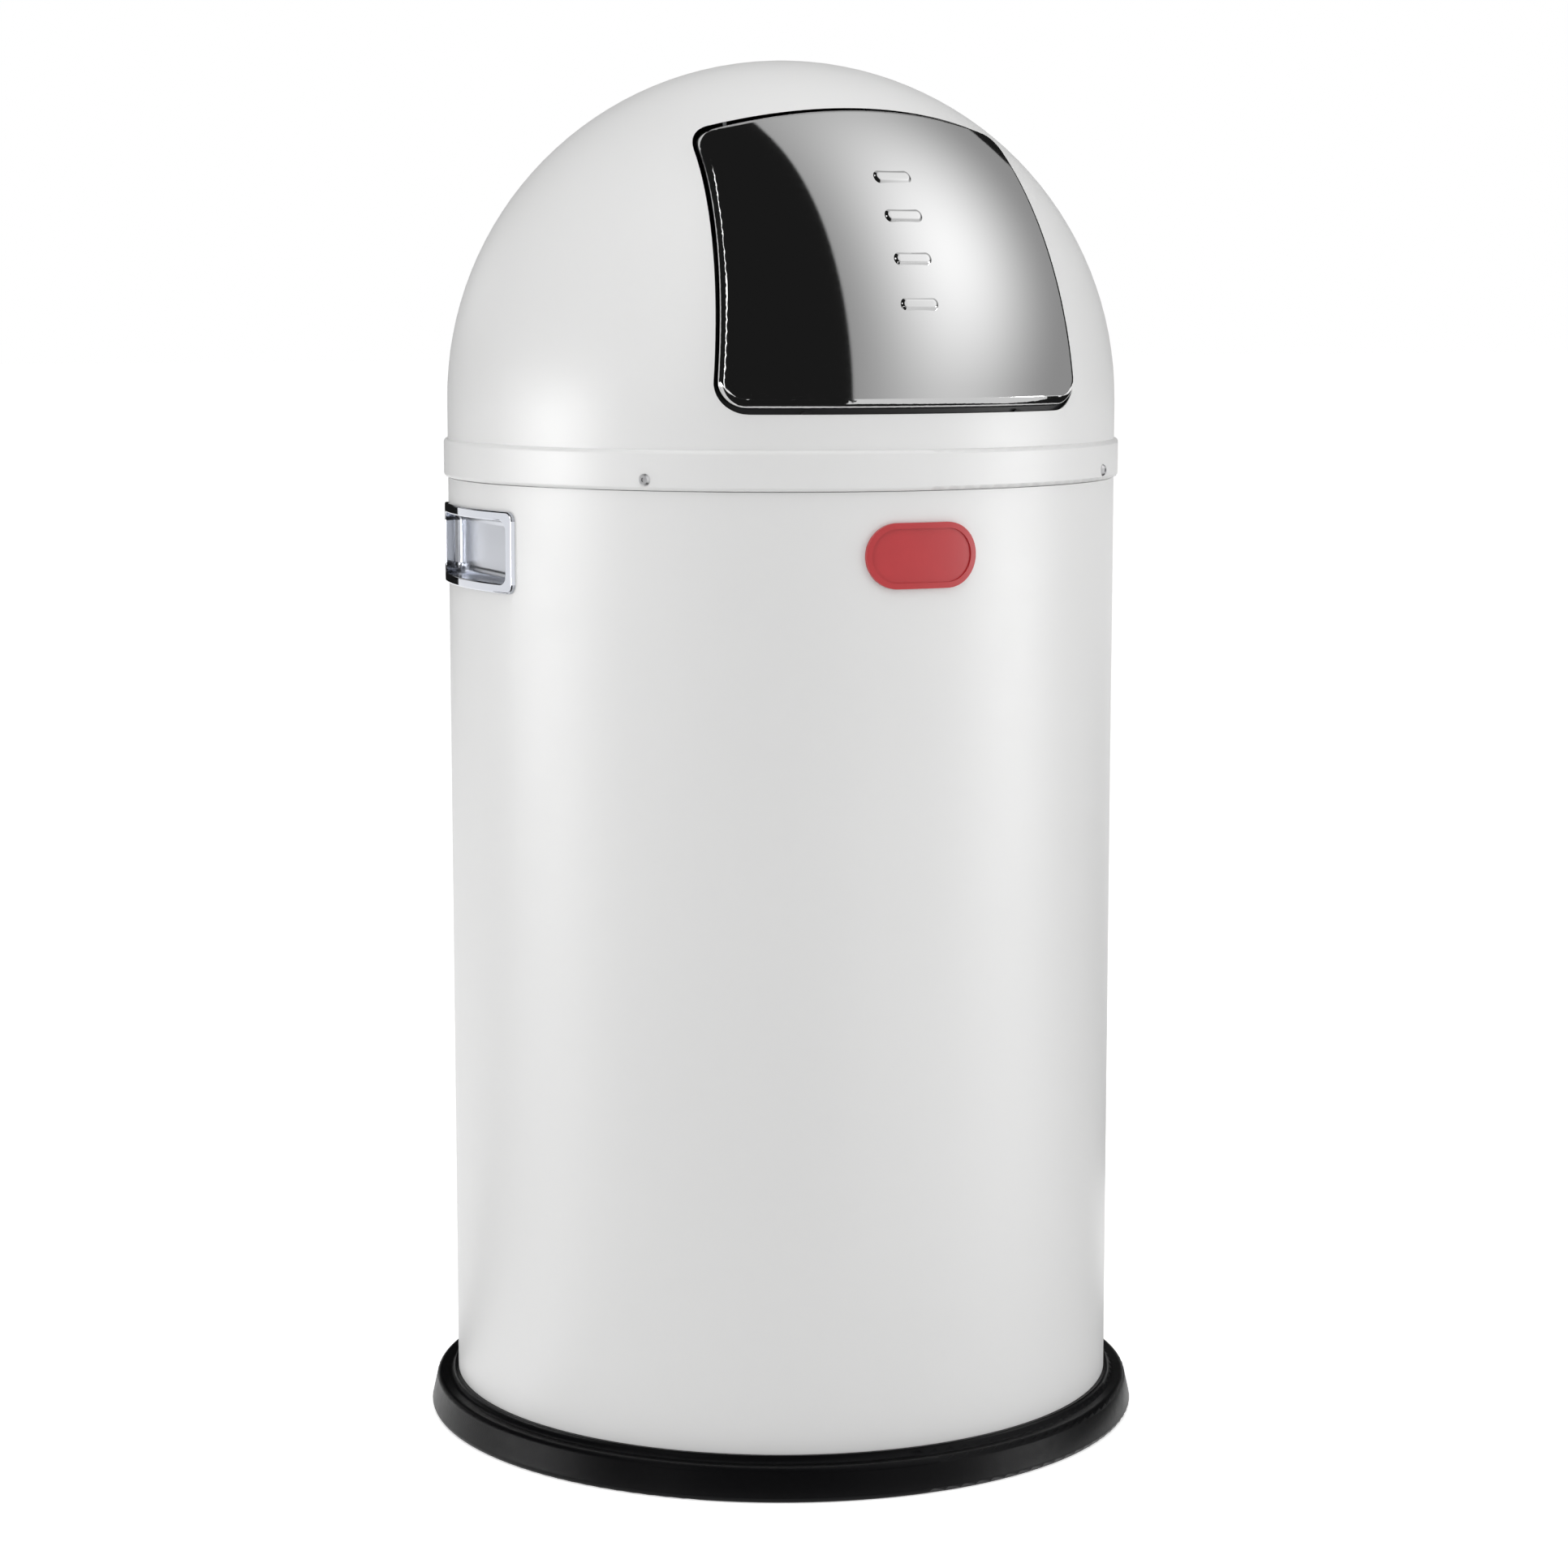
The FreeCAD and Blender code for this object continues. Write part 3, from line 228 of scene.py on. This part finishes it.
PAINT = powder_coat("powder_coat_white", colour=(0.79, 0.79, 0.786))
RING = moulded_plastic("ring_black", colour=(0.0025, 0.0025, 0.003), roughness=0.34, grain=900.0, gloss=0.11)
BLACK = moulded_plastic("moulded_black", colour=(0.020, 0.020, 0.021), roughness=0.48, grain=700.0)
NYLON = moulded_plastic("nylon_natural", colour=(0.74, 0.73, 0.69), roughness=0.45, grain=500.0)
RUBBER = moulded_plastic("rubber_black", colour=(0.018, 0.018, 0.018), roughness=0.75, grain=400.0)
STAINLESS = polished_metal("stainless_polished", colour=(0.80, 0.80, 0.80), roughness=0.05,
                           stretch=(1, 1, 12), depth=0.01)
CHROME = chrome_plate("chrome_plate", colour=(0.64, 0.66, 0.71))
BRIGHT = polished_metal("steel_bright", colour=(0.60, 0.61, 0.62), roughness=0.24,
                        stretch=(12, 1, 1), depth=0.05)
SPRING = polished_metal("steel_spring", colour=(0.38, 0.39, 0.41), roughness=0.30,
                        stretch=(1, 1, 1), depth=0.05)
RIVET = polished_metal("rivet_aluminium", colour=(0.72, 0.72, 0.73), roughness=0.28,
                       stretch=(1, 1, 1), depth=0.05)
ZINC = polished_metal("zinc_plated", colour=(0.56, 0.58, 0.59), roughness=0.34,
                      stretch=(1, 1, 3), depth=0.08)
SPANGLE = galvanised("galvanised_spangle", colour=(0.60, 0.62, 0.63))
RED = enamel("badge_enamel", colour=(0.50, 0.028, 0.034))

NODE_MATERIALS = {
    "body_shell": PAINT, "hood_shell": PAINT, "bottom_plate": ZINC, "floor_ring": RING,
    "grip_left": CHROME, "grip_right": CHROME, "grip_retainer_left": ZINC,
    "grip_retainer_right": ZINC, "badge_plate": RED, "plug_ring": ZINC, "collar_rivets": RIVET,
    "hinge_axle": BRIGHT, "hinge_bracket_left": ZINC, "hinge_bracket_right": ZINC,
    "axle_clips": SPRING, "opening_stops": RUBBER, "return_spring_left": SPRING,
    "return_spring_right": SPRING, "flap_panel": STAINLESS, "flap_backplate": BLACK,
    "flap_buffers": RUBBER, "hinge_bush_left": NYLON, "hinge_bush_right": NYLON,
    "liner_wall": SPANGLE, "liner_floor": SPANGLE, "bail_lug_left": ZINC, "bail_lug_right": ZINC,
    "lug_rivets": RIVET, "bail_wire": BRIGHT, "bail_sleeve": BLACK,
}
for node, material in NODE_MATERIALS.items():
    for material_slot in nodes_of_part[node].material_slots:
        material_slot.material = material


# Embossed ribs on the flap: a plain column of short rounded bars pressed from behind
RIB_HEIGHTS = (0.688, 0.668, 0.646, 0.623)
RIB_LENGTH = 0.022
RIB_WIDTH = 0.0075
RIB_RISE = 0.0011
RIB_EDGE_SHARE = 0.6
RIB_ROOT = 0.00012
RIB_RINGS = 16
RIB_STEPS = 48
MERGE_DISTANCE = 1e-6


def new_piece(name, mesh_builder, material, body):
    """A mesh object that rides on a body."""
    mesh = bpy.data.meshes.new(name)
    shape = bmesh.new()
    mesh_builder(shape)
    shape.to_mesh(mesh)
    shape.free()
    piece = bpy.data.objects.new(name, mesh)
    bpy.context.scene.collection.objects.link(piece)
    for face in mesh.polygons:
        face.use_smooth = True
    mesh.materials.append(material)
    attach(piece, body)


def rib_builder(height):
    """A builder for one rib: closed rings that shrink and rise from the flap's face to a flat top."""
    half = (RIB_LENGTH - RIB_WIDTH) / 2

    def ring_corners(shape, inset):
        radius = RIB_WIDTH / 2 * (1 - inset)
        slope = min(1.0, inset / RIB_EDGE_SHARE)
        lift = RIB_RISE * (1 - math.cos(slope * math.pi)) / 2 - RIB_ROOT
        corners = []
        for step in range(RIB_STEPS):
            turn = 2 * math.pi * (step + 0.5) / RIB_STEPS
            side = half if math.cos(turn) > 0 else -half
            x = side + radius * math.cos(turn)
            z = height + radius * math.sin(turn)
            up = z - DOME_CENTRE.z
            y = -math.sqrt(FLAP_FACE_RADIUS ** 2 - x * x - up * up)
            outward = Vector((x, y, up)).normalized()
            corners.append(shape.verts.new(Vector((x, y, z)) + outward * lift))
        return corners

    def build(shape):
        rings = [ring_corners(shape, ring / RIB_RINGS) for ring in range(RIB_RINGS + 1)]
        for low, high in zip(rings, rings[1:]):
            for step in range(RIB_STEPS):
                follow = (step + 1) % RIB_STEPS
                shape.faces.new((low[step], low[follow], high[follow], high[step]))
        shape.faces.new(list(reversed(rings[0])))
        bmesh.ops.remove_doubles(shape, verts=shape.verts, dist=MERGE_DISTANCE)
        bmesh.ops.recalc_face_normals(shape, faces=shape.faces)

    return build


for count, height in enumerate(RIB_HEIGHTS, start=1):
    new_piece("flap_rib_%d" % count, rib_builder(height), STAINLESS, "flap")


# Stage: a pale floor, and studio walls and cards that only the glossy surfaces mirror
FLOOR_SIZE = 60.0
FLOOR_GLOW = 0.56
WALL_CENTRE = Vector((0, 0, 0.62))
WALL_RADIUS = 4.75
PATCH_RADIUS = 4.6
CARD_HEIGHT = 0.004
STAGE_STEPS = 24

# How far from the axis the floor cards start and end
BESIDE_RING = 0.215
GREY_START = 0.42
NEAR_END = 0.6
CARD_END = 4.4

# Azimuths and elevations of the walls' edges, in degrees
FRONT = 0
BACK = 180
OVERHEAD = 90
WALL_FOOT = -3
STRIP_FOOT = -7.5
DARK_FOOT = -7.7
SLIT_BEND = 36
BACK_STEP = 25


def stage_object(name, corners, faces, material):
    mesh = bpy.data.meshes.new(name)
    mesh.from_pydata(corners, [], faces)
    item = bpy.data.objects.new(name, mesh)
    bpy.context.scene.collection.objects.link(item)
    mesh.materials.append(material)
    return item


def mirrored_object(name, corners, faces, material):
    """A stage object that mirrored rays alone see."""
    item = stage_object(name, corners, faces, material)
    item.visible_camera = False
    item.visible_diffuse = False
    item.visible_shadow = False


def studio_wall(name, radius, material, start, end, elevations, start_lean=0, end_lean=0):
    """A part of a large ball round the bin, between two azimuths and two elevations.

    A lean is how far that side's azimuth moves from the foot to the top.
    """
    foot, top = elevations
    corners = []
    faces = []
    for row in range(STAGE_STEPS + 1):
        rise = row / STAGE_STEPS
        left = start + start_lean * rise
        right = end + end_lean * rise
        for column in range(STAGE_STEPS + 1):
            azimuth = left + (right - left) * column / STAGE_STEPS
            corners.append(WALL_CENTRE + direction(azimuth, foot + (top - foot) * rise) * radius)
    for row in range(STAGE_STEPS):
        for column in range(STAGE_STEPS):
            first = row * (STAGE_STEPS + 1) + column
            faces.append((first, first + 1, first + STAGE_STEPS + 2, first + STAGE_STEPS + 1))
    mirrored_object(name, corners, faces, material)


def floor_card(name, material, start, end, reaches):
    """A flat card on the floor, a slice of a ring round the bin between two azimuths."""
    corners = []
    for column in range(STAGE_STEPS + 1):
        away = heading(start + (end - start) * column / STAGE_STEPS)
        for reach in reaches:
            corners.append(away * reach + Vector((0, 0, CARD_HEIGHT)))
    faces = [(2 * column, 2 * column + 1, 2 * column + 3, 2 * column + 2) for column in range(STAGE_STEPS)]
    mirrored_object(name, corners, faces, material)


def reflector(name, material, target, azimuth, elevation, distance, width, height):
    """A small card held near one place and facing it."""
    middle = target + direction(azimuth, elevation) * distance
    across = heading(azimuth + QUARTER_TURN) * width / 2
    along = direction(azimuth, elevation + QUARTER_TURN) * height / 2
    corners = [middle - across - along, middle + across - along,
               middle + across + along, middle - across + along]
    mirrored_object(name, corners, [(0, 1, 2, 3)], material)


def seen_or_mirrored(tree):
    """1 for rays from the camera, mirrors and glass, and 0 for the rest."""
    path = tree.nodes.new("ShaderNodeLightPath")
    mirrored = tree.nodes.new("ShaderNodeMath")
    mirrored.operation = "MAXIMUM"
    tree.links.new(path.outputs["Is Glossy Ray"], mirrored.inputs[0])
    tree.links.new(path.outputs["Is Transmission Ray"], mirrored.inputs[1])
    seen = tree.nodes.new("ShaderNodeMath")
    seen.operation = "MAXIMUM"
    tree.links.new(path.outputs["Is Camera Ray"], seen.inputs[0])
    tree.links.new(mirrored.outputs["Value"], seen.inputs[1])
    return seen.outputs["Value"]


def glow(name, level):
    """A plain light-giving surface."""
    surface = Shader(name, colour=(0, 0, 0), roughness=1.0)
    surface.set("Specular IOR Level", 0.0)
    surface.set("Emission Color", WHITE)
    surface.set("Emission Strength", level)
    return surface


def spot_glow(name, azimuth, elevation, lean, half_width, half_length, centre_level, edge_level):
    """A light-giving wall that is brightest at one direction and falls off round it, in a long oval."""
    wall = glow(name, level=1.0)
    middle = WALL_CENTRE + direction(azimuth, elevation) * WALL_RADIUS
    side = heading(azimuth + QUARTER_TURN)
    rise = direction(azimuth, elevation + QUARTER_TURN)
    turn = math.radians(lean)
    across = side * math.cos(turn) + rise * math.sin(turn)
    along = rise * math.cos(turn) - side * math.sin(turn)
    offset = wall.vector_math("SUBTRACT")
    offset.inputs[1].default_value = middle
    wall.link(wall.place, offset.inputs[0])
    oval = wall.add("ShaderNodeCombineXYZ")
    for axis, socket in ((across / half_width, "X"), (along / half_length, "Y")):
        part = wall.vector_math("DOT_PRODUCT")
        part.inputs[1].default_value = axis
        wall.link(offset.outputs["Vector"], part.inputs[0])
        wall.link(part.outputs["Value"], oval.inputs[socket])
    gap = wall.vector_math("LENGTH")
    wall.link(oval.outputs["Vector"], gap.inputs[0])
    fall = wall.add("ShaderNodeMapRange")
    fall.interpolation_type = "SMOOTHSTEP"
    fall.inputs["To Min"].default_value = centre_level
    fall.inputs["To Max"].default_value = edge_level
    wall.link(gap.outputs["Value"], fall.inputs["Value"])
    wall.feed(fall.outputs["Result"], "Emission Strength")
    return wall


def floor_paper(name, colour):
    """Matt white paper that reads as plain white to the camera and in mirrors."""
    paper = Shader(name, colour, roughness=0.9)
    paper.feed(paper.tint(paper.noise(scale=3.0), low=(0.89, 0.89, 0.89), high=(0.91, 0.91, 0.91)),
               "Base Color")
    paper.set("Specular IOR Level", 0.0)
    paper.set("Emission Color", WHITE)
    paper.feed(paper.spread(seen_or_mirrored(paper.tree), low=0.0, high=FLOOR_GLOW), "Emission Strength")
    return paper.material


half_floor = FLOOR_SIZE / 2
floor_corners = [(-half_floor, -half_floor, 0), (half_floor, -half_floor, 0),
                 (half_floor, half_floor, 0), (-half_floor, half_floor, 0)]
stage_object("floor", floor_corners, [(0, 1, 2, 3)], floor_paper("floor_paper", colour=(0.90, 0.90, 0.90)))

DARK = glow("wall_dark", level=0.012).material
STRIP = glow("strip_lit", level=1.7).material
FOOT = glow("strip_foot", level=13.5).material
GREY = glow("floor_grey", level=0.7).material
LEDGE = glow("ledge_lit", level=6.0).material
SPOT = spot_glow("wall_spot", azimuth=50.5, elevation=40.0, lean=-31.6, half_width=3.37, half_length=5.71,
                 centre_level=1.173, edge_level=0.315).material

# The dark and the lit half of the studio, which meet in front of the bin
studio_wall("wall_left", WALL_RADIUS, DARK, start=-BACK, end=FRONT, elevations=(WALL_FOOT, OVERHEAD))
studio_wall("wall_right", WALL_RADIUS, SPOT, start=FRONT, end=BACK, elevations=(WALL_FOOT, OVERHEAD))

# Nearer patches: a bent slit for the flap's left roll, and the dark that ends its lit half
studio_wall("slit_left", PATCH_RADIUS, STRIP, start=-64, end=-56, elevations=(WALL_FOOT, SLIT_BEND))
studio_wall("slit_left_over", PATCH_RADIUS, STRIP, start=-64, end=-56, elevations=(SLIT_BEND, 62),
            start_lean=-44, end_lean=-42)
studio_wall("wall_back", PATCH_RADIUS, DARK, start=84, end=BACK, elevations=(WALL_FOOT, BACK_STEP),
            start_lean=22)
studio_wall("wall_back_over", PATCH_RADIUS, DARK, start=120, end=BACK, elevations=(BACK_STEP, 33),
            start_lean=14)

# What the left grip mirrors: its pocket's grey, its dark end and its ledge's light
studio_wall("ledge_light_back", PATCH_RADIUS, GREY, start=-172, end=-152, elevations=(5, 17))
studio_wall("foot_dark_left", PATCH_RADIUS, DARK, start=-205, end=-164, elevations=(DARK_FOOT, WALL_FOOT))
reflector("grip_reflector", LEDGE, GRIP_LEDGE, azimuth=-79.0, elevation=18.5, distance=0.25, width=0.105,
          height=0.055)

# Strips at the walls' foot for the body's two soft bands
studio_wall("foot_strip_left", PATCH_RADIUS, FOOT, start=-122, end=-90, elevations=(STRIP_FOOT, WALL_FOOT))
studio_wall("foot_strip_right", PATCH_RADIUS, FOOT, start=45, end=73, elevations=(STRIP_FOOT, WALL_FOOT))

# Floor cards that keep the ring black and the body's sides soft
floor_card("floor_card_left", DARK, start=-135, end=-122, reaches=(BESIDE_RING, CARD_END))
floor_card("floor_grey_left", GREY, start=-122, end=-84, reaches=(GREY_START, CARD_END))
floor_card("floor_card_front", DARK, start=-84, end=FRONT, reaches=(BESIDE_RING, CARD_END))
floor_card("floor_card_near", DARK, start=FRONT, end=100, reaches=(BESIDE_RING, NEAR_END))
floor_card("floor_grey_right", GREY, start=FRONT, end=75, reaches=(NEAR_END, CARD_END))
floor_card("floor_card_right", DARK, start=75, end=128, reaches=(NEAR_END, CARD_END))


# Lamps: three softboxes that light the matt surfaces, and that no mirror shows
LIGHT_TARGET = Vector((0, 0, 0.40))
LIGHT_DISTANCE = 2.6


def softbox(name, azimuth, elevation, width, height, power):
    data = bpy.data.lights.new(name, "AREA")
    data.shape = "RECTANGLE"
    data.size = width
    data.size_y = height
    data.energy = power
    light = bpy.data.objects.new(name, data)
    bpy.context.scene.collection.objects.link(light)
    away = direction(azimuth, elevation)
    turn = away.to_track_quat("Z", "Y").to_matrix().to_4x4()
    light.matrix_world = Matrix.Translation(LIGHT_TARGET + away * LIGHT_DISTANCE) @ turn
    light.visible_glossy = False
    light.visible_camera = False


softbox("softbox_right", azimuth=52.0, elevation=12.0, width=1.6, height=2.0, power=19.0)
softbox("softbox_left", azimuth=-80.0, elevation=12.0, width=1.4, height=1.8, power=15.5)
softbox("softbox_top", azimuth=-30.0, elevation=70.0, width=2.0, height=2.0, power=24.0)


# World: white where the camera and polished metal look, a soft grey fill elsewhere
FILL_STRENGTH = 0.52
WHITE_STRENGTH = 1.0


def plain_background(tree, strength):
    background = tree.nodes.new("ShaderNodeBackground")
    background.inputs["Color"].default_value = WHITE
    background.inputs["Strength"].default_value = strength
    return background.outputs["Background"]


def studio_world(name):
    world = bpy.data.worlds.new(name)
    bpy.context.scene.world = world
    world.use_nodes = True
    tree = world.node_tree
    tree.nodes.clear()
    mix = tree.nodes.new("ShaderNodeMixShader")
    tree.links.new(seen_or_mirrored(tree), mix.inputs["Fac"])
    tree.links.new(plain_background(tree, FILL_STRENGTH), mix.inputs[1])
    tree.links.new(plain_background(tree, WHITE_STRENGTH), mix.inputs[2])
    output = tree.nodes.new("ShaderNodeOutputWorld")
    tree.links.new(mix.outputs["Shader"], output.inputs["Surface"])


studio_world("studio")

# Camera
camera_data = bpy.data.cameras.new("camera")
camera_data.lens = CAMERA_LENS
camera_data.sensor_width = SENSOR
camera = bpy.data.objects.new("camera", camera_data)
bpy.context.scene.collection.objects.link(camera)
camera.location = heading(CAMERA_AZIMUTH) * CAMERA_DISTANCE + Vector((0, 0, CAMERA_HEIGHT))
camera.rotation_euler = (math.radians(QUARTER_TURN - CAMERA_TILT), 0, math.radians(CAMERA_AIM))
bpy.context.scene.camera = camera
bpy.context.scene.view_settings.view_transform = "Standard"
